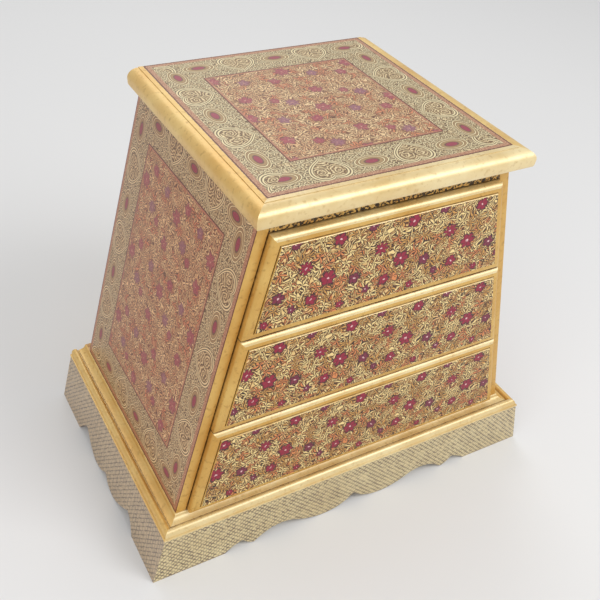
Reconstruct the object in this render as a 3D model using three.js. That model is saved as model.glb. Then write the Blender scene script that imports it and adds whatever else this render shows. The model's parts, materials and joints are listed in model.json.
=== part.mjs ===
// A gilded chest of three drawers whose sides lean outward towards the floor.
// Its flat moulded top carries an open book. Millimetres, X right, Y back, Z up,
// origin on the floor under the middle of the base.
import * as THREE from 'three';

// ---- Overall sizes ----
const caseDepth = 291;             // front edge to back edge of the side panels
const caseTopWidth = 282;          // across the side panels, just under the top
const lean = THREE.MathUtils.degToRad(13);

// ---- Base ----
const skirtHeight = 65;
const skirtThick = 15;
const baseBoardThick = 12;
const baseMouldingWidth = 22;      // how far the moulding stands out from the case
const baseMouldingBead = 1.8;      // bead along the foot of the case
const skirtSetback = 0.8;          // skirt face behind the edge of the moulding
const backOverhang = 14;           // base standing out behind the case
const backRailThick = 12;
const backRailLift = 20;           // its lower edge above the floor
const cornerBlockSize = 26;

// ---- Scalloped edge of the skirt ----
const frontFootLength = 88;
const sideFootLength = 68;
const footSweep = 22;              // length of the curve from foot to peak
const toothLength = 52;            // small hanging point beside the front peak
const archHeight = 17;             // front arch inside the tooth
const frontPeakHeight = 13;
const sidePeakHeight = 20;
const centreRise = 18;             // notch in the middle of the front
const sideCentreRise = 11;

// ---- Case ----
const panelThick = 12;
const backPanelThick = 8;
const topRailHeight = 18.5;
const topRailDepth = 20;

// ---- Top ----
const topThick = 19;
const topMouldingWidth = 18;
const topMouldingFlat = 5;         // flat margin before the rounded edge
const topMouldingStep = 1.5;
const topOverhang = 2;             // flat panel in front of the case, before its moulding
const topSeat = 3;                 // flat panel's edge inside the outside of the case

// ---- Drawers ----
const drawerPitch = 114;
const drawerGap = 1.2;             // between one front and the next
const frontSideGap = 0.8;          // between a front and the side panel
const frontThick = 12;             // inside the case
const frontProud = 5;              // rim in front of the case
const ovoloWidth = 8.5;
const ovoloDepth = 5;
const filletWidth = 1;
const filletDepth = 1.5;
const boxSideGap = 1.2;            // between the drawer box and the side panel
const boxWall = 9;
const boxBottomThick = 4;
const boxHeadRoom = 13.7;          // above the box, to the runners of the next drawer
const runnerWidth = 18;
const runnerHeight = 10;
const runnerGap = 0.3;             // drawer above its runners
const stopGap = 0.3;               // closed drawer to its stops
const stopLength = 14;
const stopHeight = 12;
const stopRearSpace = 6.4;         // behind the stops, to the back panel

// ---- Fits ----
const glueGap = 0.3;               // where a cut edge meets a leaning face

// ---- Derived places ----
const slope = Math.tan(lean);
const leaning = (thickness) => thickness / Math.cos(lean);
const caseFoot = skirtHeight + baseBoardThick;
const caseTop = caseFoot + 3 * drawerPitch + topRailHeight + drawerGap / 2;
const caseFront = -(caseDepth + backOverhang - baseMouldingWidth) / 2;
const caseBack = caseFront + caseDepth;
const baseBack = caseBack + backOverhang;
const skirtFront = caseFront - baseMouldingWidth + skirtSetback;
const topBoardHalf = caseTopWidth / 2 - topSeat;
const topBoardFront = caseFront - topOverhang;
const caseHalf = (z) => caseTopWidth / 2 + (caseTop - z) * slope;
const insideHalf = (z) => caseHalf(z) - leaning(panelThick);
const baseHalf = caseHalf(caseFoot);
const skirtHalf = (z) => baseHalf + baseMouldingWidth - skirtSetback + (skirtHeight - z) * slope;
const runnerEnd = caseBack - backPanelThick - glueGap;
const stopStart = runnerEnd - stopRearSpace - stopLength;
const boxStart = caseFront + frontThick;
const boxEnd = stopStart - stopGap;
const boxHeight = drawerPitch - runnerHeight - runnerGap - boxBottomThick - boxHeadRoom;

const group = new THREE.Group();

// ---- Materials ----
function paint(color, roughness, metalness) {
  return new THREE.MeshStandardMaterial({ color, roughness, metalness });
}
const gilded = () => paint(0xcfae62, 0.42, 0.55);
const paintedFlowers = () => paint(0xb08a5a, 0.5, 0.25);
const carvedSkirt = () => paint(0xb89b62, 0.5, 0.4);
const bareWood = () => paint(0xb98e5e, 0.8, 0);
const plywood = () => paint(0xcaa878, 0.85, 0);

// ---- Geometry helpers ----
// A closed solid through a row of rings. Each ring puts every point of the
// flat outline in space, and the first and last rings are closed off.
function loft(shape, rings) {
  const outline = THREE.ShapeUtils.isClockWise(shape) ? [...shape].reverse() : shape;
  const caps = THREE.ShapeUtils.triangulateShape(outline, []);
  const count = outline.length;
  const points = rings.flatMap((ring) => outline.map((p) => ring(p.x, p.y)));
  const faces = [];
  const last = (rings.length - 1) * count;
  for (const [a, b, c] of caps) {
    faces.push([c, b, a]);
    faces.push([last + a, last + b, last + c]);
  }
  for (let r = 0; r < rings.length - 1; r++) {
    for (let i = 0; i < count; i++) {
      const j = (i + 1) % count;
      const near = r * count;
      const far = near + count;
      faces.push([near + i, near + j, far + j]);
      faces.push([near + i, far + j, far + i]);
    }
  }
  const volume = faces.reduce((sum, [a, b, c]) => {
    const cross = points[b].clone().cross(points[c]);
    return sum + points[a].dot(cross);
  }, 0);
  const outward = volume > 0 ? faces : faces.map(([a, b, c]) => [a, c, b]);
  const geometry = new THREE.BufferGeometry().setFromPoints(points);
  geometry.setIndex(outward.flat());
  geometry.computeVertexNormals();
  return geometry;
}

function polygon(...pairs) {
  return pairs.map(([x, y]) => new THREE.Vector2(x, y));
}

function add(name, geometry, material) {
  const mesh = new THREE.Mesh(geometry, material);
  mesh.name = name;
  group.add(mesh);
  return mesh;
}

// A board standing across the front or back: its outline is in X and Z.
function crossBoard(outline, y0, y1) {
  return loft(outline, [y0, y1].map((y) => (x, z) => new THREE.Vector3(x, y, z)));
}

// A level board: its outline is in X and Y.
function levelBoard(half, y0, y1, z0, z1) {
  const outline = polygon([-half, y0], [half, y0], [half, y1], [-half, y1]);
  return loft(outline, [z0, z1].map((z) => (x, y) => new THREE.Vector3(x, y, z)));
}

// A board leaning with the side of the case. Its outline is in Y and Z, and
// half gives the distance of its outer face from the middle at each height.
function leaningBoard(side, outline, half, thickness) {
  return loft(outline, [0, leaning(thickness)].map((inset) => (y, z) => (
    new THREE.Vector3(side * (half(z) - inset), y, z)
  )));
}

// A symmetrical outline whose ends follow the lean of the case.
function taperedOutline(half, z0, z1) {
  return polygon([-half(z0), z0], [half(z0), z0], [half(z1), z1], [-half(z1), z1]);
}

// ---- Mouldings ----
// Both profiles run from the inner face outward: x is out, y is up.
function quarter(cx, cy, rx, ry, from, to, steps) {
  const angles = Array.from({ length: steps + 1 }, (_, i) => from + (to - from) * (i / steps));
  return angles.map((t) => [cx + rx * Math.cos(t), cy + ry * Math.sin(t)]);
}

function topProfile() {
  const shoulder = topThick - topMouldingStep;
  const noseHeight = topThick * 0.45;
  const start = topMouldingFlat + 0.5;
  const nose = topMouldingWidth;
  return polygon(
    [0, 0],
    ...quarter(nose - 1.5, noseHeight, 1.5, noseHeight, -Math.PI / 2, 0, 6),
    ...quarter(start, noseHeight, nose - start, shoulder - noseHeight, 0, Math.PI / 2, 12).slice(1),
    [topMouldingFlat, topThick],
    [0, topThick],
  );
}

function baseProfile() {
  const width = baseMouldingWidth;
  const top = baseBoardThick;
  const bead = baseMouldingBead;
  const ledge = baseBoardThick * 0.5;
  const roll = width * 0.2;
  const rollX = width - 2 - roll;
  const coveX = rollX - roll - 1;
  const coveTop = top - bead * 0.6;
  return polygon(
    [0, 0],
    [width, 0],
    [width, 1.8],
    [width - 1.6, 2],
    ...quarter(rollX, 3, roll, ledge, 0, Math.PI, 14),
    [coveX, ledge - 1.5],
    ...quarter(coveX, coveTop, coveX - bead, coveTop - ledge, -Math.PI / 2, -Math.PI, 8),
    ...quarter(0, coveTop, bead, top - coveTop, 0, Math.PI / 2, 5),
  );
}

// Front and side runs of a moulding around a rectangle, mitred where they meet.
function mouldingRing(name, profile, half, front, back, z, material) {
  const at = (x, y, up) => new THREE.Vector3(x, y, z + up);
  add(`${name}_front`, loft(profile, [-1, 1].map((side) => (out, up) => (
    at(side * (half + out), front - out, up)
  ))), material());
  for (const [label, side] of [['left', -1], ['right', 1]]) {
    add(`${name}_${label}`, loft(profile, [
      (out, up) => at(side * (half + out), front - out, up),
      (out, up) => at(side * (half + out), back, up),
    ]), material());
  }
}

// ---- Scalloped skirt ----
// One half of the lower edge, from the middle outward to the foot. A skirt
// with a tooth has an arch inside it as well as the peak beside its foot.
function scallops(length, foot, rise, peakHeight, tooth) {
  const end = length - foot;
  const peak = end - footSweep;
  const gap = peak - tooth;
  const lobe = gap * 0.42;
  const edge = new THREE.Path();
  edge.moveTo(0, rise);
  edge.quadraticCurveTo(lobe * 0.4, 0.6, lobe, 0.6);
  if (tooth > 0) {
    edge.quadraticCurveTo(gap * 0.62, 0.6, gap * 0.86, archHeight * 0.8);
    edge.quadraticCurveTo(gap, archHeight * 1.1, gap + tooth * 0.3, archHeight * 0.85);
    edge.quadraticCurveTo(gap + tooth * 0.5, archHeight * 0.6, gap + tooth * 0.72, 1);
    edge.quadraticCurveTo(peak - tooth * 0.12, 4, peak, peakHeight);
  } else {
    edge.quadraticCurveTo(gap * 0.62, 1.5, peak, peakHeight);
  }
  edge.quadraticCurveTo(peak + footSweep * 0.6, peakHeight * 0.7, end, 0);
  return edge.getPoints(8);
}

function skirtOutline(middle, leftEnd, rightEnd, foot, rise, peakHeight, tooth) {
  const half = Math.min(middle - leftEnd, rightEnd - middle);
  const edge = scallops(half, foot, rise, peakHeight, tooth);
  const right = edge.map((p) => [middle + p.x, p.y]);
  const left = edge.slice(1).reverse().map((p) => [middle - p.x, p.y]);
  return polygon([leftEnd, skirtHeight], [leftEnd, 0], ...left, ...right,
    [rightEnd, 0], [rightEnd, skirtHeight]);
}

function frontSkirt() {
  const corner = skirtHalf(0);
  const outline = skirtOutline(0, -corner, corner, frontFootLength, centreRise,
    frontPeakHeight, toothLength);
  const face = (inset, y) => (x, z) => {
    const reach = skirtHalf(z) - inset;
    const isEnd = Math.abs(x) > reach || Math.abs(x) === corner;
    return new THREE.Vector3(isEnd ? Math.sign(x) * reach : x, y, z);
  };
  return loft(outline, [
    face(0, skirtFront),
    face(leaning(skirtThick), skirtFront + skirtThick),
  ]);
}

function sideSkirt(side) {
  const middle = (skirtFront + baseBack) / 2;
  const outline = skirtOutline(middle, skirtFront, baseBack, sideFootLength, sideCentreRise,
    sidePeakHeight, 0);
  const face = (inset, mitre) => (y, z) => (
    new THREE.Vector3(side * (skirtHalf(z) - inset), Math.max(y, skirtFront + mitre), z)
  );
  return loft(outline, [
    face(0, 0),
    face(leaning(skirtThick), skirtThick),
  ]);
}

function buildBase() {
  add('skirt_front', frontSkirt(), carvedSkirt());
  add('skirt_left', sideSkirt(-1), carvedSkirt());
  add('skirt_right', sideSkirt(1), carvedSkirt());
  const within = (z) => skirtHalf(z) - leaning(skirtThick) - glueGap;
  add('skirt_back', crossBoard(taperedOutline(within, backRailLift, skirtHeight),
    baseBack - backRailThick, baseBack), bareWood());
  add('base_board', levelBoard(baseHalf, caseFront, baseBack, skirtHeight, caseFoot), bareWood());
  mouldingRing('base_moulding', baseProfile(), baseHalf, caseFront, baseBack, skirtHeight, gilded);

  const blockFoot = backRailLift;
  const frontStart = skirtFront + skirtThick + glueGap;
  const backStart = baseBack - backRailThick - glueGap - cornerBlockSize;
  for (const [label, side] of [['left', -1], ['right', 1]]) {
    const inner = side * (within(skirtHeight) - cornerBlockSize);
    const outline = polygon(
      [inner, blockFoot],
      [side * within(blockFoot), blockFoot],
      [side * within(skirtHeight), skirtHeight],
      [inner, skirtHeight],
    );
    for (const [place, start] of [['front', frontStart], ['back', backStart]]) {
      add(`corner_block_${place}_${label}`,
        crossBoard(outline, start, start + cornerBlockSize), bareWood());
    }
  }
}

// ---- Case ----
function buildCase() {
  const panel = polygon([caseFront, caseFoot], [caseBack, caseFoot],
    [caseBack, caseTop], [caseFront, caseTop]);
  add('side_panel_left', leaningBoard(-1, panel, caseHalf, panelThick), paintedFlowers());
  add('side_panel_right', leaningBoard(1, panel, caseHalf, panelThick), paintedFlowers());

  const within = (z) => insideHalf(z) - glueGap;
  add('back_panel', crossBoard(taperedOutline(within, caseFoot, caseTop),
    caseBack - backPanelThick, caseBack), plywood());
  const rail = taperedOutline(within, caseTop - topRailHeight, caseTop);
  add('top_rail_front', crossBoard(rail, caseFront, caseFront + topRailDepth), gilded());
  const railBack = caseBack - backPanelThick - glueGap;
  add('top_rail_back', crossBoard(rail, railBack - topRailDepth, railBack), bareWood());
}

function buildTop() {
  add('top_board', levelBoard(topBoardHalf, topBoardFront, caseBack,
    caseTop, caseTop + topThick), paintedFlowers());
  mouldingRing('top_moulding', topProfile(), topBoardHalf, topBoardFront, caseBack,
    caseTop, gilded);
}

// ---- Runners and stops, one pair for each drawer ----
function buildRunners(level, name) {
  const z0 = caseFoot + level * drawerPitch;
  const z1 = z0 + runnerHeight;
  const within = (z) => insideHalf(z) - glueGap;
  for (const [label, side] of [['left', -1], ['right', 1]]) {
    const runner = polygon(
      [side * (within(z1) - runnerWidth), z0],
      [side * within(z0), z0],
      [side * within(z1), z1],
      [side * (within(z1) - runnerWidth), z1],
    );
    add(`runner_${name}_${label}`, crossBoard(runner, boxStart + 2, runnerEnd), bareWood());
    const z2 = z1 + stopHeight;
    const stop = polygon(
      [side * (within(z1) - runnerWidth), z1],
      [side * within(z1), z1],
      [side * within(z2), z2],
      [side * (within(z1) - runnerWidth), z2],
    );
    add(`stop_${name}_${label}`, crossBoard(stop, stopStart, stopStart + stopLength), bareWood());
  }
}

// ---- Drawers ----
// The front is a trapezoid with a rounded border that rises to a flat field.
function drawerFront(z0) {
  const bottom = z0 + drawerGap / 2;
  const top = z0 + drawerPitch - drawerGap / 2;
  const half = (z) => insideHalf(z) - frontSideGap;
  const outline = taperedOutline(half, bottom, top);
  const ring = (y, inset) => (x, z) => {
    const height = z + (z === bottom ? inset : -inset);
    const reach = half(height) - leaning(inset);
    return new THREE.Vector3(Math.sign(x) * reach, y, height);
  };
  const rim = caseFront - frontProud;
  const steps = 12;
  const ovolo = Array.from({ length: steps + 1 }, (_, i) => {
    const turn = (i / steps) * (Math.PI / 2);
    return ring(rim - ovoloDepth * Math.sin(turn), ovoloWidth * (1 - Math.cos(turn)));
  });
  const edge = ovoloWidth + filletWidth;
  return loft(outline, [
    ring(boxStart, 0),
    ...ovolo,
    ring(rim - ovoloDepth, edge),
    ring(rim - ovoloDepth - filletDepth, edge),
  ]);
}

function buildDrawer(level, name) {
  const z0 = caseFoot + level * drawerPitch;
  const bottomFoot = z0 + runnerHeight + runnerGap;
  const wallFoot = bottomFoot + boxBottomThick;
  const wallTop = wallFoot + boxHeight;
  const outer = (z) => insideHalf(z) - boxSideGap;
  const inner = (z) => outer(z) - leaning(boxWall) - glueGap;
  add(`${name}_front`, drawerFront(z0), gilded());
  add(`${name}_bottom`, levelBoard(outer(wallFoot), boxStart, boxEnd, bottomFoot, wallFoot),
    plywood());
  const wall = polygon([boxStart, wallFoot], [boxEnd, wallFoot], [boxEnd, wallTop],
    [boxStart, wallTop]);
  add(`${name}_side_left`, leaningBoard(-1, wall, outer, boxWall), bareWood());
  add(`${name}_side_right`, leaningBoard(1, wall, outer, boxWall), bareWood());
  add(`${name}_back`, crossBoard(taperedOutline(inner, wallFoot, wallTop),
    boxEnd - boxWall, boxEnd), bareWood());
}

buildBase();
buildCase();
buildTop();
['bottom', 'middle', 'top'].forEach((name, level) => {
  buildRunners(level, name);
  buildDrawer(level, `drawer_${name}`);
});

export default group;
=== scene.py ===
import bpy
import bmesh
import json
import math
from mathutils import Matrix, Vector


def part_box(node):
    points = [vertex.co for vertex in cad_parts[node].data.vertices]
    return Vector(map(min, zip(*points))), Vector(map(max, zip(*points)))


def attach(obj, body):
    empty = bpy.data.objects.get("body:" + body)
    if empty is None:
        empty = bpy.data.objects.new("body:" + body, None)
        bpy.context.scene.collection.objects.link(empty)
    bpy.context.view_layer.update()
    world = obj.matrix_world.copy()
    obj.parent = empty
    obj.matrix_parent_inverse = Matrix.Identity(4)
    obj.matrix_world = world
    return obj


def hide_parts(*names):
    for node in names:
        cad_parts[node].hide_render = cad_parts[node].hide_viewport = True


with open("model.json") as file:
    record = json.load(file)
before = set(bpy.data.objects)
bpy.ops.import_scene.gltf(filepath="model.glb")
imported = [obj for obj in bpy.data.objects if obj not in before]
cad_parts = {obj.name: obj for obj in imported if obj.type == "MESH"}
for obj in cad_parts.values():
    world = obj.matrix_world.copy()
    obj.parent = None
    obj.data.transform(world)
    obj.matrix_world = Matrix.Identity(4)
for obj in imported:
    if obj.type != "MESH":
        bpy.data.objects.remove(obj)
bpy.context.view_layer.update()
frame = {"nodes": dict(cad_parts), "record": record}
nodes = frame["nodes"]
mm = 0.001

# places taken from the frame
topLow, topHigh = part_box("top_board")
panelLow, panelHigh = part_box("side_panel_right")
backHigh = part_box("back_panel")[1]
boardLow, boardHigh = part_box("base_board")
glueGap = 0.3 * mm  # between the back panel and each side
sideThick = panelHigh.x - backHigh.x - glueGap  # measured level, across the leaning board
slope = (panelHigh.x - panelLow.x - sideThick) / (panelHigh.z - panelLow.z)
lean = math.atan(slope)
print("frame loaded", len(nodes), "nodes")

# node helpers
mathNode = "ShaderNodeMath"
mixNode = "ShaderNodeMixRGB"
rangeNode = "ShaderNodeMapRange"
vectorNode = "ShaderNodeVectorMath"
noiseNode = "ShaderNodeTexNoise"
splitNode = "ShaderNodeSeparateXYZ"
joinNode = "ShaderNodeCombineXYZ"
groupNode = "ShaderNodeGroup"
mappingNode = "ShaderNodeMapping"


def addNode(tree, kind, *links, named=None, **settings):
    node = tree.nodes.new(kind)
    for name, value in settings.items():
        setattr(node, name, value)
    wanted = list(enumerate(links)) + list((named or {}).items())
    for key, value in wanted:
        if value is None:
            continue
        if isinstance(value, bpy.types.Node):
            value = value.outputs[0]
        if isinstance(value, bpy.types.NodeSocket):
            tree.links.new(value, node.inputs[key])
        else:
            node.inputs[key].default_value = value
    return node


def srgb(code):  # hex to linear
    parts = [int(code[i:i + 2], 16) / 255 for i in (1, 3, 5)]
    return tuple(c / 12.92 if c <= 0.04045 else ((c + 0.055) / 1.055) ** 2.4 for c in parts) + (1.0,)


def newGroup(name, inputs, outputs):  # inputs are (name, socket kind, default)
    tree = bpy.data.node_groups.new(name, "ShaderNodeTree")
    for label, kind, value in inputs:
        socket = tree.interface.new_socket(label, in_out="INPUT", socket_type="NodeSocket" + kind)
        if value is not None:
            socket.default_value = value
    for label, kind in outputs:
        tree.interface.new_socket(label, in_out="OUTPUT", socket_type="NodeSocket" + kind)
    start = tree.nodes.new("NodeGroupInput")
    end = tree.nodes.new("NodeGroupOutput")
    return tree, start, end


def endGroup(tree, end, *results):
    for index, result in enumerate(results):
        socket = result.outputs[0] if isinstance(result, bpy.types.Node) else result
        tree.links.new(socket, end.inputs[index])
    return tree


def fade(tree, value, near, far, strength=1.0):  # full up to near, gone by far
    return addNode(tree, rangeNode, value, near, far, strength, 0.0)


def rise(tree, value, near, far, strength=1.0):  # nothing up to near, full by far
    return addNode(tree, rangeNode, value, near, far, 0.0, strength)


def awayFrom(tree, value, middle):  # distance on either side of a middle
    offset = addNode(tree, mathNode, value, middle, operation="SUBTRACT")
    return addNode(tree, mathNode, offset, operation="ABSOLUTE")


def fromCentre(tree, x, y):
    point = addNode(tree, joinNode, x, y)
    return addNode(tree, vectorNode, point, operation="LENGTH").outputs["Value"]


def flatNoise(tree, place, scale, detail=1.0, roughness=0.5):
    return addNode(tree, noiseNode, named={
        "Vector": place, "Scale": scale, "Detail": detail, "Roughness": roughness},
        noise_dimensions="2D")


def newMaterial(name):
    material = bpy.data.materials.new(name)
    material.use_nodes = True
    tree = material.node_tree
    tree.nodes.clear()
    return material, tree


def finishMaterial(tree, color, roughness, bump, bumpHeight, **fixed):
    lift = addNode(tree, "ShaderNodeBump", named={
        "Strength": 1.0, "Distance": bumpHeight, "Height": bump})
    surface = addNode(tree, "ShaderNodeBsdfPrincipled", named={
        "Base Color": color, "Roughness": roughness, "Normal": lift})
    for label, value in fixed.items():
        surface.inputs[label.replace("_", " ")].default_value = value
    addNode(tree, "ShaderNodeOutputMaterial", surface)


# painted patterns, all in millimetres on a flat plane
flowerShape = {"plump": 0.7, "petal": (0.9, 1.04), "heart": (0.1, 0.2), "rim": (1.1, 1.3),
               "seam": (0.1, 0.45, 0.8)}


# one painted flower, repeated both ways: petals round a pale heart
def flowerGroup():
    shape = flowerShape
    tree, start, end = newGroup("painted flower", [
        ("Place", "Vector", None), ("Centre", "Vector", None), ("Radius", "Float", 6.0),
        ("Repeat", "Vector", None), ("Petals", "Float", 5.0), ("Depth", "Float", 0.3)],
        [("Petal", "Float"), ("Heart", "Float"), ("Rim", "Float"), ("Seam", "Float")])
    place, centre, radius, repeat, petals, depth = start.outputs[:6]
    offset = addNode(tree, vectorNode, place, centre, operation="SUBTRACT")
    half = addNode(tree, vectorNode, repeat, named={"Scale": 0.5}, operation="SCALE")
    minus = addNode(tree, vectorNode, repeat, named={"Scale": -0.5}, operation="SCALE")
    near = addNode(tree, vectorNode, offset, half, minus, operation="WRAP")
    parts = addNode(tree, splitNode, near)
    turn = addNode(tree, mathNode, parts.outputs[1], parts.outputs[0], operation="ARCTAN2")
    many = addNode(tree, mathNode, turn, petals, operation="MULTIPLY")
    halved = addNode(tree, mathNode, many, 0.5, operation="MULTIPLY")
    wave = addNode(tree, mathNode, halved, operation="COSINE")
    wave = addNode(tree, mathNode, wave, operation="ABSOLUTE")
    plump = addNode(tree, mathNode, wave, shape["plump"], operation="POWER")
    least = addNode(tree, mathNode, 1.0, depth, operation="SUBTRACT")
    dent = addNode(tree, mathNode, plump, depth, least, operation="MULTIPLY_ADD")
    far = fromCentre(tree, parts.outputs[0], parts.outputs[1])
    share = addNode(tree, mathNode, far, radius, operation="DIVIDE")
    ratio = addNode(tree, mathNode, share, dent, operation="DIVIDE")
    return endGroup(tree, end, fade(tree, ratio, *shape["petal"]),
                    fade(tree, share, *shape["heart"]), fade(tree, ratio, *shape["rim"]),
                    fade(tree, wave, *shape["seam"]))


sprayShape = {"scatter": 0.85, "tip": 0.66, "end": 1.05, "leaf": (-0.25, 0.15),
              "line": (0.5, 1.2)}


# sprays of leaves, one spray to a cell, each turned its own way
def sprayGroup():
    shape = sprayShape
    tree, start, end = newGroup("leaf sprays", [
        ("Place", "Vector", None), ("Cell", "Float", 10.0), ("Leaves", "Float", 4.0),
        ("Width", "Float", 1.2), ("Curl", "Float", 0.4)],
        [("Leaf", "Float"), ("Line", "Float"), ("Chance", "Float")])
    place, cell, leaves, width, curl = start.outputs[:5]
    scale = addNode(tree, mathNode, 1.0, cell, operation="DIVIDE")
    cells = addNode(tree, "ShaderNodeTexVoronoi", named={
        "Vector": place, "Scale": scale, "Randomness": shape["scatter"]}, voronoi_dimensions="2D")
    offset = addNode(tree, vectorNode, place, cells.outputs["Position"], operation="SUBTRACT")
    chance = addNode(tree, "ShaderNodeSeparateColor", cells.outputs["Color"])
    angle = addNode(tree, mathNode, chance.outputs[0], math.tau, operation="MULTIPLY")
    turned = addNode(tree, "ShaderNodeVectorRotate", offset, named={"Angle": angle},
                     rotation_type="Z_AXIS")
    parts = addNode(tree, splitNode, turned)
    far = fromCentre(tree, parts.outputs[0], parts.outputs[1])
    heading = addNode(tree, mathNode, parts.outputs[1], parts.outputs[0], operation="ARCTAN2")
    span = addNode(tree, mathNode, math.pi, leaves, operation="DIVIDE")
    spanBack = addNode(tree, mathNode, span, -1.0, operation="MULTIPLY")
    folded = addNode(tree, mathNode, heading, span, spanBack, operation="WRAP")
    cosine = addNode(tree, mathNode, folded, operation="COSINE")
    sine = addNode(tree, mathNode, folded, operation="SINE")
    along = addNode(tree, mathNode, far, cosine, operation="MULTIPLY")
    across = addNode(tree, mathNode, far, sine, operation="MULTIPLY")
    tip = addNode(tree, mathNode, cell, shape["tip"], operation="MULTIPLY")
    share = addNode(tree, mathNode, along, tip, operation="DIVIDE")
    phase = rise(tree, share, 0.0, 1.0, math.pi)
    bow = addNode(tree, mathNode, phase, operation="SINE")
    reach = addNode(tree, mathNode, bow, width, operation="MULTIPLY")
    bend = addNode(tree, mathNode, share, along, operation="MULTIPLY")
    bent = addNode(tree, mathNode, bend, curl, across, operation="MULTIPLY_ADD")
    side = addNode(tree, mathNode, bent, operation="ABSOLUTE")
    gap = addNode(tree, mathNode, side, reach, operation="SUBTRACT")
    inside = addNode(tree, mathNode, share, shape["end"], operation="LESS_THAN")
    return endGroup(tree, end, fade(tree, gap, *shape["leaf"], inside),
                    fade(tree, gap, *shape["line"], inside), chance.outputs[1])


scrollShape = {"roughness": 0.4, "dark": (0.12, 0.24), "pale": (0.27, 0.36)}


# thin curling lines, as a brush would scroll them between the leaves
def scrollGroup():
    tree, start, end = newGroup("scrolls", [
        ("Place", "Vector", None), ("Size", "Float", 12.0), ("Rings", "Float", 12.0)],
        [("Dark", "Float"), ("Pale", "Float")])
    place, size, rings = start.outputs[:3]
    scale = addNode(tree, mathNode, 1.0, size, operation="DIVIDE")
    field = flatNoise(tree, place, scale, roughness=scrollShape["roughness"])
    many = addNode(tree, mathNode, field, rings, operation="MULTIPLY")
    fold = addNode(tree, mathNode, many, 0.5, operation="PINGPONG")
    return endGroup(tree, end, fade(tree, fold, *scrollShape["dark"]),
                    rise(tree, fold, *scrollShape["pale"]))


flowerTree = flowerGroup()
sprayTree = sprayGroup()
scrollTree = scrollGroup()

drawerPaint = {
    "repeat": (84.0, 1000.0, 1000.0),  # mm from one flower to its next copy
    "ground": "#ad7531", "dark": "#2b1207", "cream": "#f4d590", "gold": "#c98f40",
    "orange": "#d6743a",
    "petals": ("#950f33", "#7a1f3a"), "petalLine": "#3d0c16", "heart": "#eec4c2",
    "petalCover": 1.0,
    "sprays": ((11.5, 5.0, 1.0, 0.6), (7.8, 3.0, 0.88, 0.8)),  # cell, leaves, width, curl
    "scroll": (10.0, 6.8),  # size of a curl, lines to it
    # centre across and up, radius, petals, depth of the dents, crimson or plum
    "flowers": (
        ((0, -7), 8.6, 6, 0.42, 0), ((30.5, -16), 6.4, 5, 0.36, 1),
        ((-17, -28), 6.2, 5, 0.3, 0), ((9, 35), 6.8, 5, 0.3, 0), ((-26, 11.5), 7.4, 8, 0.6, 0),
        ((45, 41), 5.4, 5, 0.36, 1), ((-38, -34), 4.4, 5, 0.36, 1),
        ((17, -44), 4.4, 5, 0.36, 0)),
}
fieldPaint = {
    "repeat": (84.0, 92.0, 1000.0),
    "ground": "#c19566", "dark": "#68402a", "cream": "#ebca98", "gold": "#d0a274",
    "orange": "#d07c54",
    "petals": ("#9f3c52", "#8f5a70"), "petalLine": "#7d4048", "heart": "#c78d85",
    "petalCover": 0.8,
    "sprays": ((11.0, 5.0, 1.0, 0.6), (7.6, 3.0, 0.85, 0.8)),
    "scroll": (9.0, 7.5),
    "flowers": (
        ((0, -7), 8.4, 6, 0.42, 0), ((31, -20), 6.4, 5, 0.36, 1),
        ((-19, -27), 6.2, 5, 0.3, 0), ((14, 33), 7.0, 5, 0.36, 0),
        ((-26, 13), 7.2, 8, 0.5, 1), ((42, 22), 5.2, 5, 0.36, 0)),
}


brushWork = {
    "warp": (0.09, 9.0), "handShake": (0.3, 4.0),  # noise to a mm, mm of push
    "wash": 0.07, "washEdges": (0.5, 0.66, 0.6), "pale": 0.75, "darkLine": 0.85,
    "orangeLeaves": (0.74, 0.78, 0.85), "goldLeaves": (0.26, 0.32, 0.9),
}
noiseMiddle = (0.5, 0.5, 0.5)


def shakePlace(tree, place, scale, reach):
    noise = flatNoise(tree, place, scale)
    centred = addNode(tree, vectorNode, noise.outputs["Color"], noiseMiddle,
                      operation="SUBTRACT")
    push = addNode(tree, vectorNode, centred, named={"Scale": reach}, operation="SCALE")
    return addNode(tree, vectorNode, place, push, operation="ADD")


def paintColors(paint):  # the hex codes among a painting's settings
    return {label: srgb(value) for label, value in paint.items() if isinstance(value, str)}


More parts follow.
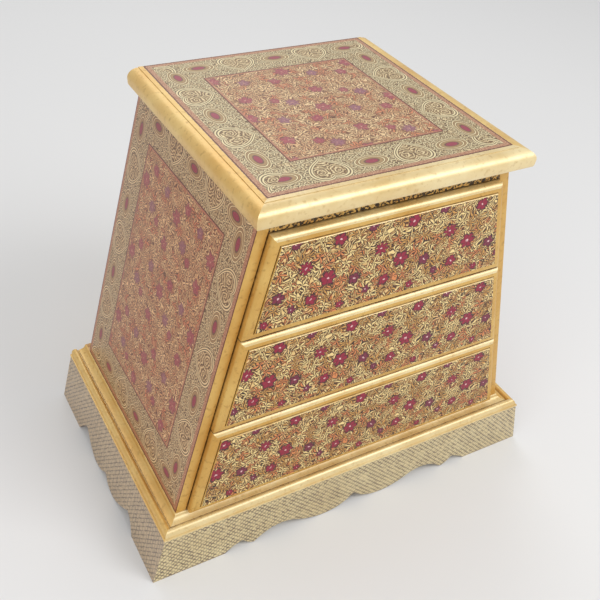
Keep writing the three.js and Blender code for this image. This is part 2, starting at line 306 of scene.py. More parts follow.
# dense leaves and flowers painted on gold
def flowerFieldGroup(name, paint):
    tree, start, end = newGroup(name, [("Place", "Vector", None)],
                                [("Color", "Color"), ("Height", "Float")])
    place = start.outputs[0]
    work = brushWork
    tint = paintColors(paint)
    warped = shakePlace(tree, place, *work["warp"])
    handDrawn = shakePlace(tree, place, *work["handShake"])
    wash = flatNoise(tree, place, work["wash"], detail=2.0)
    washed = rise(tree, wash, *work["washEdges"])
    color = addNode(tree, mixNode, washed, tint["ground"], tint["orange"])
    scrolls = addNode(tree, groupNode, warped, *paint["scroll"], node_tree=scrollTree)
    pale = addNode(tree, mathNode, scrolls.outputs["Pale"], work["pale"], operation="MULTIPLY")
    color = addNode(tree, mixNode, pale, color, tint["cream"])
    dark = addNode(tree, mathNode, scrolls.outputs["Dark"], work["darkLine"],
                   operation="MULTIPLY")
    color = addNode(tree, mixNode, dark, color, tint["dark"])
    height = scrolls.outputs["Pale"]
    for sprayKind in reversed(paint["sprays"]):
        spray = addNode(tree, groupNode, warped, *sprayKind, node_tree=sprayTree)
        color = addNode(tree, mixNode, spray.outputs["Line"], color, tint["dark"])
        isOrange = rise(tree, spray.outputs["Chance"], *work["orangeLeaves"])
        isGold = fade(tree, spray.outputs["Chance"], *work["goldLeaves"])
        leafColor = addNode(tree, mixNode, isOrange, tint["cream"], tint["orange"])
        leafColor = addNode(tree, mixNode, isGold, leafColor, tint["gold"])
        color = addNode(tree, mixNode, spray.outputs["Leaf"], color, leafColor)
        height = addNode(tree, mathNode, height, spray.outputs["Leaf"], operation="MAXIMUM")
    line = tint["petalLine"]
    for (across, up), radius, petals, depth, kind in paint["flowers"]:
        flower = addNode(tree, groupNode, handDrawn, (across, up, 0.0), radius,
                         paint["repeat"], petals, depth, node_tree=flowerTree)
        petal = addNode(tree, mixNode, flower.outputs["Seam"], srgb(paint["petals"][kind]),
                        line)
        bloom = addNode(tree, mixNode, flower.outputs["Rim"], color, line)
        bloom = addNode(tree, mixNode, flower.outputs["Petal"], bloom, petal)
        bloom = addNode(tree, mixNode, flower.outputs["Heart"], bloom, tint["heart"])
        color = addNode(tree, mixNode, paint["petalCover"], color, bloom)
        height = addNode(tree, mathNode, height, flower.outputs["Petal"], operation="MAXIMUM")
    return endGroup(tree, end, color, height)


# how far a place lies inside a rectangle, and how far along its nearest side
def frameGroup():
    tree, start, end = newGroup("rectangle", [
        ("Place", "Vector", None), ("Low", "Vector", None), ("High", "Vector", None),
        ("Phase", "Vector", None), ("Far Phase", "Vector", None)],
        [("Edge", "Float"), ("Along", "Float")])
    place, low, high, phase, farPhase = start.outputs[:5]
    fromLow = addNode(tree, vectorNode, place, low, operation="SUBTRACT")
    toHigh = addNode(tree, vectorNode, high, place, operation="SUBTRACT")
    nearest = addNode(tree, vectorNode, fromLow, toHigh, operation="MINIMUM")
    lowParts = addNode(tree, splitNode, fromLow)
    highParts = addNode(tree, splitNode, toHigh)
    parts = addNode(tree, splitNode, nearest)
    edge = addNode(tree, mathNode, parts.outputs[0], parts.outputs[1], operation="MINIMUM")
    isSide = addNode(tree, mathNode, parts.outputs[0], parts.outputs[1],
                     operation="LESS_THAN")
    alongParts = addNode(tree, splitNode, place)
    phaseParts = addNode(tree, splitNode, phase)
    farParts = addNode(tree, splitNode, farPhase)
    runs = []
    for axis in (0, 1):  # a side that runs along X is near or far in Y, and the other way round
        isFar = addNode(tree, mathNode, highParts.outputs[1 - axis],
                        lowParts.outputs[1 - axis], operation="LESS_THAN")
        shift = addNode(tree, "ShaderNodeMix", isFar, named={
            2: phaseParts.outputs[axis], 3: farParts.outputs[axis]})
        runs.append(addNode(tree, mathNode, alongParts.outputs[axis], shift,
                            operation="SUBTRACT"))
    along = addNode(tree, "ShaderNodeMix", isSide, named={2: runs[0].outputs[0],
                                                          3: runs[1].outputs[0]})
    return endGroup(tree, end, edge, along)


borderPaint = {
    "ground": "#a98a5f", "dark": "#4f3c24", "cream": "#ead8aa", "pink": "#b97d62",
    "line": "#642a1e", "oval": "#9a3d4e", "ovalLine": "#6d5040",
    "width": 50.0, "middle": 24.0, "period": 94.0,
    "ovalHalf": (7.2, 3.6), "almondHalf": (17.0, 9.5),
    "heartHalf": 20.5, "spiralPlace": (11.0, -0.5), "spiralPitch": 3.3, "shake": 5.0,
    "outerLine": 1.1, "lineHalf": 0.6, "lineSoft": (0.2, 0.4), "fieldSoft": 0.2,
    "outerStripe": 2.8, "innerStripe": 1.4, "stripeSoft": 0.3, "stripeShare": 0.7,
    "scroll": (7.5, 7.0), "scrollPale": 0.75, "scrollDark": 0.8,
    "spray": (8.0, 4.0, 0.9, 0.5), "sprayLine": 0.75, "sprayLeaf": 0.85,
    "heartTall": 1.2, "heartNotch": 0.55, "heartDrop": 0.3, "shakeScale": 0.2,
    "coilDark": (0.12, 0.2), "coilPale": (0.3, 0.36), "well": (0.8, 0.84), "beads": 0.6,
    "shapeEdge": (1.0, 1.05), "heartRings": (0.86, 1.0), "almondRings": (0.8, 1.05),
    "ringEdge": (0.06, 0.09, 0.9), "ringCore": (0.03, 0.05),
    "ovalRim": (1.1, 1.3), "ovalFill": (0.85, 1.02),
}


def ovalDistance(tree, point, halves):  # 1 on an oval with these half sizes
    sized = addNode(tree, vectorNode, point, (1.0 / halves[0], 1.0 / halves[1], 0.0),
                    operation="MULTIPLY")
    return addNode(tree, vectorNode, sized, operation="LENGTH").outputs["Value"]


# the border band: red ovals in almonds, between heart-shaped scroll cartouches
def bandGroup():
    paint = borderPaint
    tree, start, end = newGroup("border band", [
        ("Place", "Vector", None), ("Edge", "Float", 0.0), ("Along", "Float", 0.0),
        ("Field", "Color", None)], [("Color", "Color"), ("Height", "Float")])
    place, edge, along, field = start.outputs[:4]
    tint = paintColors(paint)
    dark = tint["dark"]
    cream = tint["cream"]

    # fine scrolls and leaves on the ground
    scrolls = addNode(tree, groupNode, place, *paint["scroll"], node_tree=scrollTree)
    spray = addNode(tree, groupNode, place, *paint["spray"], node_tree=sprayTree)
    color = tint["ground"]
    for source, label, share, over in (
            (scrolls, "Pale", "scrollPale", cream), (scrolls, "Dark", "scrollDark", dark),
            (spray, "Line", "sprayLine", dark), (spray, "Leaf", "sprayLeaf", cream)):
        cover = addNode(tree, mathNode, source.outputs[label], paint[share],
                        operation="MULTIPLY")
        color = addNode(tree, mixNode, cover, color, over)

    halfPeriod = paint["period"] / 2
    across = addNode(tree, mathNode, edge, paint["middle"], operation="SUBTRACT")
    ovalRun = addNode(tree, mathNode, along, halfPeriod, -halfPeriod, operation="WRAP")
    heartShift = addNode(tree, mathNode, along, halfPeriod, operation="ADD")
    heartRun = addNode(tree, mathNode, heartShift, halfPeriod, -halfPeriod, operation="WRAP")

    # heart: a circle pushed up by the root of the distance from its middle line
    heartHalf = paint["heartHalf"]
    x = addNode(tree, mathNode, heartRun, heartHalf, operation="DIVIDE")
    y = addNode(tree, mathNode, across, -paint["heartTall"] / heartHalf, operation="MULTIPLY")
    xAway = addNode(tree, mathNode, x, operation="ABSOLUTE")
    root = addNode(tree, mathNode, xAway, operation="SQRT")
    risen = addNode(tree, mathNode, root, -paint["heartNotch"], y, operation="MULTIPLY_ADD")
    lifted = addNode(tree, mathNode, risen, paint["heartDrop"], operation="ADD")
    heartFar = fromCentre(tree, x, lifted)
    inHeart = fade(tree, heartFar, *paint["shapeEdge"])
    color = addNode(tree, mixNode, inHeart, color, tint["ground"])

    # a pair of spirals inside the heart
    mirrored = addNode(tree, mathNode, heartRun, operation="ABSOLUTE")
    shake = flatNoise(tree, place, paint["shakeScale"])
    shakes = addNode(tree, "ShaderNodeSeparateColor", shake.outputs["Color"])
    spiral = []
    for axis, run in enumerate((mirrored, across)):
        centred = addNode(tree, mathNode, run, paint["spiralPlace"][axis],
                          operation="SUBTRACT")
        spiral.append(addNode(tree, mathNode, shakes.outputs[axis], paint["shake"], centred,
                              operation="MULTIPLY_ADD"))
    spiralFar = fromCentre(tree, *spiral)
    spiralTurn = addNode(tree, mathNode, spiral[1], spiral[0], operation="ARCTAN2")
    winding = addNode(tree, mathNode, spiralTurn, 1.0 / math.tau, operation="MULTIPLY")
    coil = addNode(tree, mathNode, spiralFar, 1.0 / paint["spiralPitch"], winding,
                   operation="MULTIPLY_ADD")
    coilFold = addNode(tree, mathNode, coil, 0.5, operation="PINGPONG")
    well = fade(tree, heartFar, *paint["well"])
    beaded = addNode(tree, rangeNode, scrolls.outputs["Pale"], 0.0, 1.0, paint["beads"], 1.0)
    wellBeads = addNode(tree, mathNode, well, beaded, operation="MULTIPLY")
    coilPale = addNode(tree, mathNode, rise(tree, coilFold, *paint["coilPale"]), wellBeads,
                       operation="MULTIPLY")
    coilDark = addNode(tree, mathNode, fade(tree, coilFold, *paint["coilDark"]), wellBeads,
                       operation="MULTIPLY")
    color = addNode(tree, mixNode, coilPale, color, cream)
    color = addNode(tree, mixNode, coilDark, color, dark)

    # outlines: two pale lines edged with dark round the heart and round the almond
    ovalPoint = addNode(tree, joinNode, ovalRun, across)
    almondFar = ovalDistance(tree, ovalPoint, paint["almondHalf"])
    inAlmond = fade(tree, almondFar, *paint["shapeEdge"])
    color = addNode(tree, mixNode, inAlmond, color, tint["ground"])
    for far, rings in ((heartFar, paint["heartRings"]), (almondFar, paint["almondRings"])):
        for ring in rings:
            away = awayFrom(tree, far, ring)
            color = addNode(tree, mixNode, fade(tree, away, *paint["ringEdge"]), color, dark)
            color = addNode(tree, mixNode, fade(tree, away, *paint["ringCore"]), color, cream)
    ovalFar = ovalDistance(tree, ovalPoint, paint["ovalHalf"])
    color = addNode(tree, mixNode, fade(tree, ovalFar, *paint["ovalRim"]), color,
                    tint["ovalLine"])
    color = addNode(tree, mixNode, fade(tree, ovalFar, *paint["ovalFill"]), color,
                    tint["oval"])

    # the inner field, and the thin lines and pink stripes at both edges of the band
    width = paint["width"]
    fieldSoft, stripeSoft = paint["fieldSoft"], paint["stripeSoft"]
    isField = rise(tree, edge, width - fieldSoft, width + fieldSoft)
    color = addNode(tree, mixNode, isField, color, field)
    lineIn, lineOut = paint["lineSoft"]
    for lineAt, stripe in ((paint["outerLine"], paint["outerStripe"]),
                           (width, paint["innerStripe"])):
        away = awayFrom(tree, edge, lineAt + stripe)
        isStripe = fade(tree, away, stripe - stripeSoft, stripe + stripeSoft,
                        paint["stripeShare"])
        color = addNode(tree, mixNode, isStripe, color, tint["pink"])
        away = awayFrom(tree, edge, lineAt)
        isLine = fade(tree, away, paint["lineHalf"] - lineIn, paint["lineHalf"] + lineOut)
        color = addNode(tree, mixNode, isLine, color, tint["line"])
    height = addNode(tree, mathNode, coilPale, spray.outputs["Leaf"], operation="MAXIMUM")
    return endGroup(tree, end, color, height)


drawerTree = flowerFieldGroup("drawer flowers", drawerPaint)
fieldTree = flowerFieldGroup("panel flowers", fieldPaint)
frameTree = frameGroup()
bandTree = bandGroup()


drawerLacquer = {"roughness": 0.4, "bump": 0.15, "metal": 0.2, "coat": 0.25, "coatRoughness": 0.3}
panelLacquer = {"roughness": 0.42, "bump": 0.12, "metal": 0.1, "coat": 0.2, "coatRoughness": 0.35}


def finishLacquer(tree, color, height, lacquer):
    finishMaterial(tree, color, lacquer["roughness"], height, lacquer["bump"] * mm,
                   Metallic=lacquer["metal"], Coat_Weight=lacquer["coat"],
                   Coat_Roughness=lacquer["coatRoughness"])


# lacquered gouache on gold leaf: brushed strokes a little raised, a soft clear gloss
def paintedDrawer(name, shift, middle):
    material, tree = newMaterial(name)
    place = addNode(tree, "ShaderNodeTexCoord").outputs["Object"]
    parts = addNode(tree, splitNode, place)
    flat = addNode(tree, joinNode, parts.outputs[0], parts.outputs[2])
    flat = addNode(tree, mappingNode, flat, (-shift, -middle * 1000, 0.0),
                   named={"Scale": (1000.0, 1000.0, 1.0)})
    field = addNode(tree, groupNode, flat, node_tree=drawerTree)
    finishLacquer(tree, field.outputs["Color"], field.outputs["Height"], drawerLacquer)
    return material


# the same lacquered painting with its border band, for the top and the sides
def paintedPanel(name, axes, scale, start, size, phase, farPhase, multiplyTint):
    material, tree = newMaterial(name)
    place = addNode(tree, "ShaderNodeTexCoord").outputs["Object"]
    parts = addNode(tree, splitNode, place)
    flat = addNode(tree, joinNode, parts.outputs[axes[0]], parts.outputs[axes[1]])
    flat = addNode(tree, mappingNode, flat, (
        -start[0] * scale[0], -start[1] * scale[1], 0.0),
        named={"Scale": (scale[0], scale[1], 1.0)})
    band = addNode(tree, groupNode, flat, (0.0, 0.0, 0.0), (size[0], size[1], 0.0),
                   phase, farPhase, node_tree=frameTree)
    centred = addNode(tree, vectorNode, flat, (size[0] / 2, size[1] / 2, 0.0),
                      operation="SUBTRACT")
    field = addNode(tree, groupNode, centred, node_tree=fieldTree)
    border = addNode(tree, groupNode, flat, band.outputs["Edge"],
                     band.outputs["Along"], field.outputs["Color"], node_tree=bandTree)
    height = addNode(tree, mathNode, border.outputs["Height"], field.outputs["Height"],
                     operation="MAXIMUM")
    # the painting multiplied by a tint: white on the top, a little darker and pinker on the sides
    tintedPaint = addNode(tree, mixNode, 1.0, border.outputs["Color"], srgb(multiplyTint),
                   blend_type="MULTIPLY")
    finishLacquer(tree, tintedPaint, height, panelLacquer)
    return material


# leaf, pale, rub and glazeAndShade are colours, glazeAndShade being brown glaze and painted shade in
# the hollows; cloud, hollow, brush and pitch are in mm
plainGold = {"cloud": 70.0, "brush": 5.0, "shade": (0.25, 0.75), "specks": (0.65, 1.15)}
deepGold = {**plainGold, "leaf": "#cf9e4a", "pale": "#dfb868", "rub": "#a87a34",
            "glazeAndShade": "#714518", "hollow": 4.0, "metal": 0.55, "coat": 0.3}
# paleLitGold is a paler copy of the gilding, its lightness a painted highlight for faces turned up
# and to the front
paleLitGold = {**plainGold, "leaf": "#dcbc77", "pale": "#edd9a3", "rub": "#bd9750",
            "glazeAndShade": "#6f4419", "hollow": 5.0, "metal": 0.35, "coat": 1.0}
# shadedSideGold is a darker, oranger copy of the same gilding: painted shade for the side mouldings
shadedSideGold = {**plainGold, "leaf": "#dcae5a", "pale": "#eac97f", "rub": "#b68b40",
            "glazeAndShade": "#6b3f15", "hollow": 7.0, "metal": 0.45, "coat": 0.5}
# railShadowGold paints the shadow under the top's overhang: near-black specks over the rail wherever
# the occlusion mask reaches, up to 60 mm
railShadowGold = {**plainGold, "leaf": "#c2924a", "pale": "#d9b468", "rub": "#80571f",
            "glazeAndShade": "#22120a", "hollow": 60.0, "metal": 0.4, "coat": 0.2,
            "brush": 3.0, "shade": (0.5, 1.0), "specks": (-1.6, 1.9)}
stampedGold = {**paleLitGold, "leaf": "#dcc58c", "pale": "#e6d4a0", "rub": "#b79c64",
               "pitch": 6.4, "groove": "#5f4524"}
# the side skirts get a darker, browner copy: painted shade on the side skirts, darker than the front
stampedShadedSideGold = {**stampedGold, "leaf": "#c5a67c", "pale": "#d0b48a", "rub": "#a88a5e"}
goldWork = {
    "clouds": (0.35, 0.65), "rubbed": (0.56, 0.74, 0.6), "speckNoise": (0.38, 0.56),
    "bump": 0.12, "stampBump": 0.35, "stampWear": 3.0, "grooveEdges": (0.04, 0.24),
    "grooveWear": (0.3, 0.6, 0.3, 1.1), "roughness": (0.3, 0.7, 0.4, 0.55),
    "coatRoughness": 0.34, "coatIndex": (1.5, 0.2),
}


# leaf gold under brown glaze: satin metal, darkened in hollows, gaps and under overhangs by an
# occlusion mask, partly glaze and partly painted shade
def gildedWood(name, gold, axis=None):
    work = goldWork
    material, tree = newMaterial(name)
    place = addNode(tree, "ShaderNodeTexCoord").outputs["Object"]
    cloud = addNode(tree, noiseNode, named={
        "Vector": place, "Scale": 1000 / gold["cloud"], "Detail": 5.0, "Roughness": 0.6})
    cloudy = rise(tree, cloud, *work["clouds"])
    color = addNode(tree, mixNode, cloudy, srgb(gold["leaf"]), srgb(gold["pale"]))
    brush = addNode(tree, noiseNode, named={
        "Vector": place, "Scale": 1000 / gold["brush"], "Detail": 4.0})
    rubbed = rise(tree, brush, *work["rubbed"])
    color = addNode(tree, mixNode, rubbed, color, srgb(gold["rub"]))
    bump = brush
    depth = work["bump"]
    if "pitch" in gold:  # stamped diamonds, drawn coarse enough to show
        worn = addNode(tree, vectorNode, brush.outputs["Color"], noiseMiddle,
                       operation="SUBTRACT")
        pushed = addNode(tree, vectorNode, worn, (work["stampWear"] * mm,) * 3, place,
                         operation="MULTIPLY_ADD")
        parts = addNode(tree, splitNode, pushed)
        pitch = gold["pitch"] * mm
        folds = []
        for way in ("ADD", "SUBTRACT"):
            slant = addNode(tree, mathNode, parts.outputs[axis], parts.outputs[2],
                            operation=way)
            folds.append(addNode(tree, mathNode, slant, pitch / 2, operation="PINGPONG"))
        nearLine = addNode(tree, mathNode, folds[0], folds[1], operation="MINIMUM")
        groove = fade(tree, nearLine, *(pitch * share for share in work["grooveEdges"]))
        uneven = addNode(tree, rangeNode, brush, *work["grooveWear"])
        groove = addNode(tree, mathNode, groove, uneven, operation="MULTIPLY")
        color = addNode(tree, mixNode, groove, color, srgb(gold["groove"]))
        bump = addNode(tree, mathNode, 1.0, groove, operation="SUBTRACT")
        depth = work["stampBump"]
    # painted shade: an occlusion mask darkens hollows, gaps and faces under overhangs, mixed to the
    # glaze colour
    shade = addNode(tree, "ShaderNodeAmbientOcclusion", named={
        "Distance": gold["hollow"] * mm}, samples=8)
    darkest, clear = gold["shade"]
    hollow = fade(tree, shade.outputs["AO"], darkest, clear)
    speck = addNode(tree, rangeNode, brush, *work["speckNoise"], *gold["specks"])
    hollow = addNode(tree, mathNode, hollow, speck, operation="MULTIPLY", use_clamp=True)
    color = addNode(tree, mixNode, hollow, color, srgb(gold["glazeAndShade"]))
    rough = addNode(tree, rangeNode, cloud, *work["roughness"])
    coatLow, coatGain = work["coatIndex"]
    finishMaterial(tree, color, rough, bump, depth * mm, Metallic=gold["metal"],
                   Coat_Weight=gold["coat"], Coat_Roughness=work["coatRoughness"],
                   Coat_IOR=coatLow + coatGain * gold["coat"])
    return material


woodGrain = {"stretch": 14, "twist": 0.6, "fine": 9.0, "bands": 4.0,
             "pores": (0.56, 0.7, 0.35), "roughness": 0.75, "bump": 0.1}


# sawn softwood and plywood: dull, open grain that runs with the board
def rawWood(name, axis, pale, brown, ringSize):
    material, tree = newMaterial(name)
    place = addNode(tree, "ShaderNodeTexCoord").outputs["Object"]
    stretch = [1000 / ringSize] * 3
    stretch[axis] /= woodGrain["stretch"]
    grainPlace = addNode(tree, mappingNode, place, named={"Scale": stretch})
    rings = addNode(tree, noiseNode, named={
        "Vector": grainPlace, "Scale": 1.0, "Detail": 3.0, "Distortion": woodGrain["twist"]})
    fine = addNode(tree, noiseNode, named={
        "Vector": grainPlace, "Scale": woodGrain["fine"], "Detail": 2.0})
    band = addNode(tree, mathNode, rings, woodGrain["bands"], operation="MULTIPLY")
    band = addNode(tree, mathNode, band, 0.5, operation="PINGPONG")
    grain = rise(tree, band, 0.0, 0.5)
    color = addNode(tree, mixNode, grain, srgb(brown), srgb(pale))
    pore = rise(tree, fine, *woodGrain["pores"])
    color = addNode(tree, mixNode, pore, color, srgb(brown))
    finishMaterial(tree, color, woodGrain["roughness"], fine, woodGrain["bump"] * mm)
    return material


gilded = gildedWood("gilded wood", deepGold)
gildedPaleLit = gildedWood("pale gilded wood", paleLitGold)
gildedShadedSide = gildedWood("side gilded wood", shadedSideGold)
gildedShadowedRail = gildedWood("speckled gilded wood", railShadowGold)
skirtGold = {0: gildedWood("stamped gilding x", stampedGold, 0),
             1: gildedWood("stamped gilding y", stampedShadedSideGold, 1)}
pine = {axis: rawWood("sawn pine " + "xyz"[axis], axis, "#d9b483", "#b98b58", 9.0)
        for axis in (0, 1)}
ply = {axis: rawWood("plywood " + "xyz"[axis], axis, "#dcc093", "#c29f6c", 16.0)
       for axis in (0, 2)}
for nodeName, obj in nodes.items():
    low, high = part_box(nodeName)
    size = high - low
    slotName = next(part["material_slot"] for part in frame["record"]["subparts"]
                    if part["node"] == nodeName)
    if slotName == "carved_gilt_skirt":
        look = skirtGold[0 if size.x > size.y else 1]
    elif slotName == "plywood":
        look = ply[2 if size.y < size.z else 0]
    elif slotName == "bare_wood":
        look = pine[0 if size.x > size.y else 1]
    # the top rail gets the gold with the painted shadow of the overhang
    elif nodeName == "top_rail_front":
        look = gildedShadowedRail
    else:
        look = gildedPaleLit
    obj.data.materials.clear()
    obj.data.materials.append(look)
print("materials made")


smoothAngle = math.radians(32)
squareOn = 0.9  # part of a normal that faces straight along an axis


# a box, left in edit mode to be cut to shape
def startBlock(name, low, high):
    bpy.ops.object.select_all(action="DESELECT")
    bpy.ops.mesh.primitive_cube_add(size=1.0, location=(low + high) / 2)
    piece = bpy.context.object
    piece.name = name
    piece.scale = high - low
    bpy.ops.object.transform_apply(location=True, rotation=True, scale=True)
    bpy.ops.object.mode_set(mode="EDIT")
    return piece


def pick(piece, kind, isWanted):  # in edit mode, selects only what passes the test
    bpy.ops.mesh.select_mode(type=kind)
    bpy.ops.mesh.select_all(action="DESELECT")
    mesh = bmesh.from_edit_mesh(piece.data)
    for part in {"VERT": mesh.verts, "EDGE": mesh.edges, "FACE": mesh.faces}[kind]:
        if isWanted(part):
            part.select_set(True)
    mesh.select_flush_mode()
    bmesh.update_edit_mesh(piece.data)


def paintPicked(piece, index):
    piece.active_material_index = index
    bpy.ops.object.material_slot_assign()


def finishPiece(piece, body, slotName, *replaced):
    bpy.ops.object.mode_set(mode="OBJECT")
    bpy.ops.object.shade_smooth_by_angle(angle=smoothAngle)
    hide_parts(*replaced)
    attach(piece, body)


drawerShape = {"ovoloWidth": 8.5, "ovoloRise": 5.0, "ovoloSteps": 10, "quirkWidth": 0.5,
               "quirkDepth": 0.7, "fieldRise": 1.5, "filletWidth": 0.25, "fieldEase": 0.35,
               "paintLift": 4.5, "quirkSide": 0.2, "easeRise": 0.3, "topFacing": 0.3}


# a drawer front: rounded border, sunk line, and the flat field for the painting
def modelDrawerFront(level, shift):
    shape = drawerShape
    low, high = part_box("drawer_" + level + "_front")
    rim = low.y + (shape["ovoloRise"] + shape["fieldRise"]) * mm
    piece = startBlock("drawer_" + level + "_panel", Vector((low.x, rim, low.z)), high)
    piece.data.materials.append(gilded)
    piece.data.materials.append(paintedDrawer(
        "drawer paint " + level, shift, (low.z + high.z) / 2 + shape["paintLift"] * mm))
    piece.data.materials.append(gildedPaleLit)
    narrow = 1 - slope * (high.z - low.z) / high.x
    pick(piece, "VERT", lambda vert: vert.co.z > high.z - mm)
    bpy.ops.transform.resize(value=(narrow, 1.0, 1.0), center_override=(0.0, 0.0, high.z))
    pick(piece, "FACE", lambda face: face.normal.y < -squareOn)
    quarter = math.pi / 2 / shape["ovoloSteps"]
    for step in range(shape["ovoloSteps"]):
        now, then = step * quarter, (step + 1) * quarter
        bpy.ops.mesh.inset(
            thickness=shape["ovoloWidth"] * mm * (math.cos(now) - math.cos(then)),
            depth=shape["ovoloRise"] * mm * (math.sin(then) - math.sin(now)))
    bpy.ops.mesh.inset(thickness=shape["quirkSide"] * mm, depth=-shape["quirkDepth"] * mm)
    bpy.ops.mesh.inset(thickness=shape["quirkWidth"] * mm, depth=0.0)
    bpy.ops.mesh.inset(thickness=shape["filletWidth"] * mm,
                       depth=(shape["quirkDepth"] + shape["fieldRise"]
                              - shape["easeRise"]) * mm)
    bpy.ops.mesh.inset(thickness=shape["fieldEase"] * mm, depth=shape["easeRise"] * mm)
    paintPicked(piece, 1)
    # faces turned up get the paler copy of the gold: a painted highlight on the top of the rounded
    # border
    pick(piece, "FACE", lambda face: face.normal.z > shape["topFacing"])
    paintPicked(piece, 2)
    finishPiece(piece, "drawer_" + level, "painted_drawer_front",
                "drawer_" + level + "_front")


for level, shift in (("top", 13.0), ("middle", -43.0), ("bottom", -15.0)):
    modelDrawerFront(level, shift)

sideShape = {"ease": 0.9, "easeSteps": 3, "phase": (133.0, 139.0, 0.0), "paintTop": 440.0,
             "multiplyTint": "#fbe6db", "frontFacing": 0.3, "outFacing": 0.85}


# a leaning side panel: painted outside, gilded on its front edge, bare inside
def modelSidePanel(side, sign):
    outer = panelHigh.x * sign
    inner = (panelHigh.x - sideThick) * sign
    low = Vector((min(outer, inner), panelLow.y, panelLow.z))
    high = Vector((max(outer, inner), panelHigh.y, panelHigh.z))
    piece = startBlock("side_" + side, low, high)
    paint = paintedPanel(
        "side paint " + side, (1, 2), (1000.0, -1000.0 / math.cos(lean)),
        (low.y, sideShape["paintTop"] * mm),
        ((high.y - low.y) * 1000, (sideShape["paintTop"] - low.z * 1000) / math.cos(lean)),
        sideShape["phase"], sideShape["phase"], sideShape["multiplyTint"])
    for look in (pine[1], gilded, paint):
        piece.data.materials.append(look)
    pick(piece, "VERT", lambda vert: vert.co.z > high.z - mm)
    bpy.ops.transform.translate(value=(-sign * slope * (high.z - low.z), 0.0, 0.0))
    pick(piece, "EDGE", lambda edge: abs(edge.verts[0].co.z - edge.verts[1].co.z) > mm)
    bpy.ops.mesh.bevel(offset=sideShape["ease"] * mm, segments=sideShape["easeSteps"],
                       affect="EDGES")
    pick(piece, "FACE", lambda face: face.normal.y < -sideShape["frontFacing"])
    paintPicked(piece, 1)
    pick(piece, "FACE", lambda face: face.normal.x * sign > sideShape["outFacing"])
    paintPicked(piece, 2)
    finishPiece(piece, "case", "painted_floral_panel", "side_panel_" + side)


modelSidePanel("left", -1)
modelSidePanel("right", 1)


topShape = {"nearPhase": (-15.0, 158.0), "farPhase": (11.0, 141.0), "multiplyTint": "#ffffff"}


def modelTopBoard():
    piece = startBlock("top_slab", topLow, topHigh)
    size = (topHigh - topLow) * 1000
    phases = [(x + size.x / 2, y, 0.0)
              for x, y in (topShape["nearPhase"], topShape["farPhase"])]
    paint = paintedPanel("top paint", (0, 1), (1000.0, 1000.0), (topLow.x, topLow.y),
                         (size.x, size.y), *phases, topShape["multiplyTint"])
    piece.data.materials.append(gilded)
    piece.data.materials.append(paint)
    pick(piece, "FACE", lambda face: face.normal.z > squareOn)
    paintPicked(piece, 1)
    finishPiece(piece, "case", "painted_floral_panel", "top_board")


modelTopBoard()

topEdge = {"width": 18.0, "thick": 19.0, "flat": 5.0, "step": 0.7, "nose": 0.45,
           "underRound": 1.5, "steps": 14, "riser": 0.1, "ledge": 0.5}
baseEdge = {"width": 22.0, "thick": 12.0, "bead": 1.8, "roll": 4.4, "rollFoot": 3.0,
            "rollStart": 0.12, "quirk": 0.7, "steps": 14, "coveSteps": 8, "beadSteps": 5,
            "beadDrop": 0.6, "riser": 0.1, "rollGap": 1.0, "lip": 2.0,
            "lipEnd": ((1.6, 2.0), (0.0, 1.8))}


# each profile point: distance out, height of the upper face, height of the lower face
def topEdgeProfile():
    edge = topEdge
    nose = edge["thick"] * edge["nose"]
    shoulder = edge["thick"] - edge["step"]
    start = edge["flat"] + edge["ledge"]
    points = [(0.0, edge["thick"], 0.0), (edge["flat"], edge["thick"], 0.0),
              (edge["flat"] + edge["riser"], shoulder, 0.0)]
    for step in range(edge["steps"] + 1):
        turn = step / edge["steps"] * math.pi / 2
        out = start + (edge["width"] - start) * math.sin(turn)
        under = max(0.0, (out - edge["width"] + edge["underRound"]) / edge["underRound"])
        points.append((out, nose + (shoulder - nose) * math.cos(turn),
                       nose * (1 - math.sqrt(max(0.0, 1 - under * under)))))
    return points


def baseEdgeProfile():
    edge = baseEdge
    ledge = edge["thick"] / 2
    coveTop = edge["thick"] - edge["bead"] * edge["beadDrop"]
    rollMiddle = edge["width"] - edge["lip"] - edge["roll"]
    coveEnd = rollMiddle - edge["roll"] - edge["rollGap"]
    points = []
    for step in range(edge["beadSteps"] + 1):
        turn = step / edge["beadSteps"] * math.pi / 2
        points.append((edge["bead"] * math.sin(turn),
                       coveTop + (edge["thick"] - coveTop) * math.cos(turn)))
    for step in range(1, edge["coveSteps"] + 1):
        turn = step / edge["coveSteps"] * math.pi / 2
        points.append((coveEnd - (coveEnd - edge["bead"]) * math.cos(turn),
                       coveTop - (coveTop - ledge) * math.sin(turn)))
    points.append((coveEnd + edge["riser"], ledge - edge["quirk"]))
    for step in range(edge["steps"] + 1):
        turn = (edge["rollStart"] + (1 - edge["rollStart"]) * step / edge["steps"]) * math.pi
        points.append((rollMiddle - edge["roll"] * math.cos(turn),
                       edge["rollFoot"] + ledge * math.sin(turn)))
    points += [(edge["width"] - back, height) for back, height in edge["lipEnd"]]
    return [(out, top, 0.0) for out, top in points]


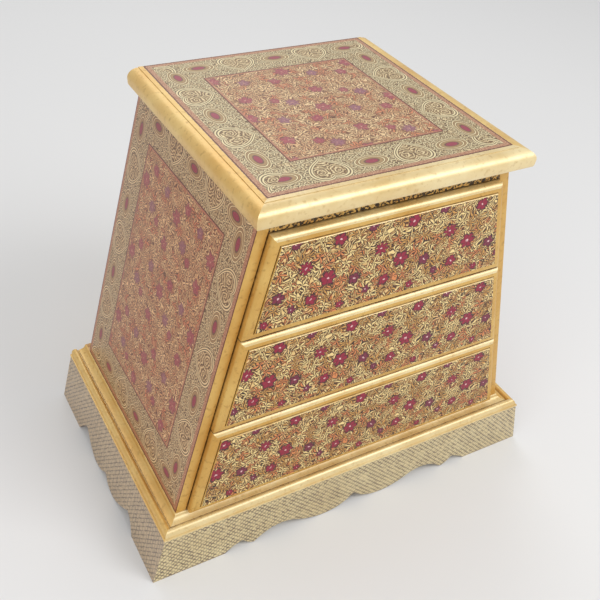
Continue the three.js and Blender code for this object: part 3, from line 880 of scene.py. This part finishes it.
# one run of a moulding: a block cut along its length, its cuts raised to the profile,
# then mitred at the corners
def modelRun(name, node, out, corner, profile, mitres):
    low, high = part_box(node)
    piece = startBlock(name, low, high)
    # the front run gets the paler copy of the gold and the side runs the darker one: painted
    # highlight and painted shade
    piece.data.materials.append(gildedPaleLit if out.x == 0 else gildedShadedSide)
    inner = Vector((corner.x, corner.y, low.z))
    for away, *heights in profile[1:-1]:
        bpy.ops.mesh.select_all(action="SELECT")
        bpy.ops.mesh.bisect(plane_co=inner + out * away * mm, plane_no=out)
    for away, top, foot in profile:
        for level, height in ((high.z, top), (low.z, foot)):
            pick(piece, "VERT", lambda vert: abs(vert.co.z - level) < 0.001 * mm
                 and abs((vert.co - inner).dot(out) - away * mm) < 0.01 * mm)
            bpy.ops.transform.translate(value=(0.0, 0.0, low.z + height * mm - level))
    for place, normal in mitres:
        bpy.ops.mesh.select_all(action="SELECT")
        bpy.ops.mesh.bisect(plane_co=place, plane_no=normal, use_fill=True,
                            clear_outer=True)
    bpy.ops.mesh.select_all(action="SELECT")
    bpy.ops.mesh.remove_doubles(threshold=0.01 * mm)
    bpy.ops.mesh.normals_make_consistent(inside=False)
    finishPiece(piece, "case", "gilt_moulding", node)


def modelMoulding(name, node, half, front, profile):
    right = Vector((half, front, 0.0))
    left = Vector((-half, front, 0.0))
    modelRun(name + "_front", node + "_front", Vector((0, -1, 0)), right, profile,
             ((right, Vector((1, 1, 0))), (left, Vector((-1, 1, 0)))))
    modelRun(name + "_right", node + "_right", Vector((1, 0, 0)), right, profile,
             ((right, Vector((-1, -1, 0))),))
    modelRun(name + "_left", node + "_left", Vector((-1, 0, 0)), left, profile,
             ((left, Vector((1, -1, 0))),))


modelMoulding("top_edge", "top_moulding", topHigh.x, topLow.y, topEdgeProfile())
modelMoulding("base_edge", "base_moulding", boardHigh.x, boardLow.y, baseEdgeProfile())
print("pieces modelled")

# floor, camera and light
stage = {
    "floor": "#e4e4e4",
    "camera": Vector((-0.4472, -0.6929, 0.8405)),
    "aim": Vector((-0.0222, -0.0318, 0.230)),
    "roll": 5.87,
    "lens": 51.35, "sensor": 36.0,
    "floorSize": 8.0, "floorRoughness": 0.8, "sky": 0.6, "lampAim": Vector((0, 0, 0.2)),
    # name, place, size, power
    "lamps": (("key", (1.2, -1.8, 2.2), 1.4, 38), ("fill", (-1.8, -1.2, 1.6), 1.6, 14),
              ("back", (0.4, 1.8, 2.2), 1.4, 12)),
}

bpy.ops.object.select_all(action="DESELECT")
bpy.ops.mesh.primitive_plane_add(size=stage["floorSize"], location=(0, 0, 0))
floor = bpy.context.object
floor.name = "floor"
material, tree = newMaterial("pale floor")
floorColor = addNode(tree, "ShaderNodeBsdfPrincipled", named={
    "Base Color": srgb(stage["floor"]), "Roughness": stage["floorRoughness"]})
addNode(tree, "ShaderNodeOutputMaterial", floorColor)
floor.data.materials.append(material)

world = bpy.data.worlds.new("studio")
bpy.context.scene.world = world
world.use_nodes = True
tree = world.node_tree
tree.nodes.clear()
sky = addNode(tree, "ShaderNodeBackground", (1.0, 1.0, 1.0, 1.0), stage["sky"])
addNode(tree, "ShaderNodeOutputWorld", sky)

for lampName, place, size, power in stage["lamps"]:
    lamp = bpy.data.lights.new(lampName, "AREA")
    lamp.size = size
    lamp.energy = power
    obj = bpy.data.objects.new(lampName, lamp)
    bpy.context.scene.collection.objects.link(obj)
    obj.location = place
    obj.rotation_euler = (stage["lampAim"] - Vector(place)).to_track_quat("-Z", "Y").to_euler()

cameraData = bpy.data.cameras.new("camera")
cameraData.lens = stage["lens"]
cameraData.sensor_width = stage["sensor"]
camera = bpy.data.objects.new("camera", cameraData)
bpy.context.scene.collection.objects.link(camera)
bpy.context.scene.camera = camera
direction = stage["aim"] - stage["camera"]
upright = direction.to_track_quat("-Z", "Y").to_matrix().to_4x4()
roll = Matrix.Rotation(math.radians(stage["roll"]), 4, "Z")
camera.matrix_world = Matrix.Translation(stage["camera"]) @ upright @ roll

bpy.context.scene.view_settings.view_transform = "Standard"
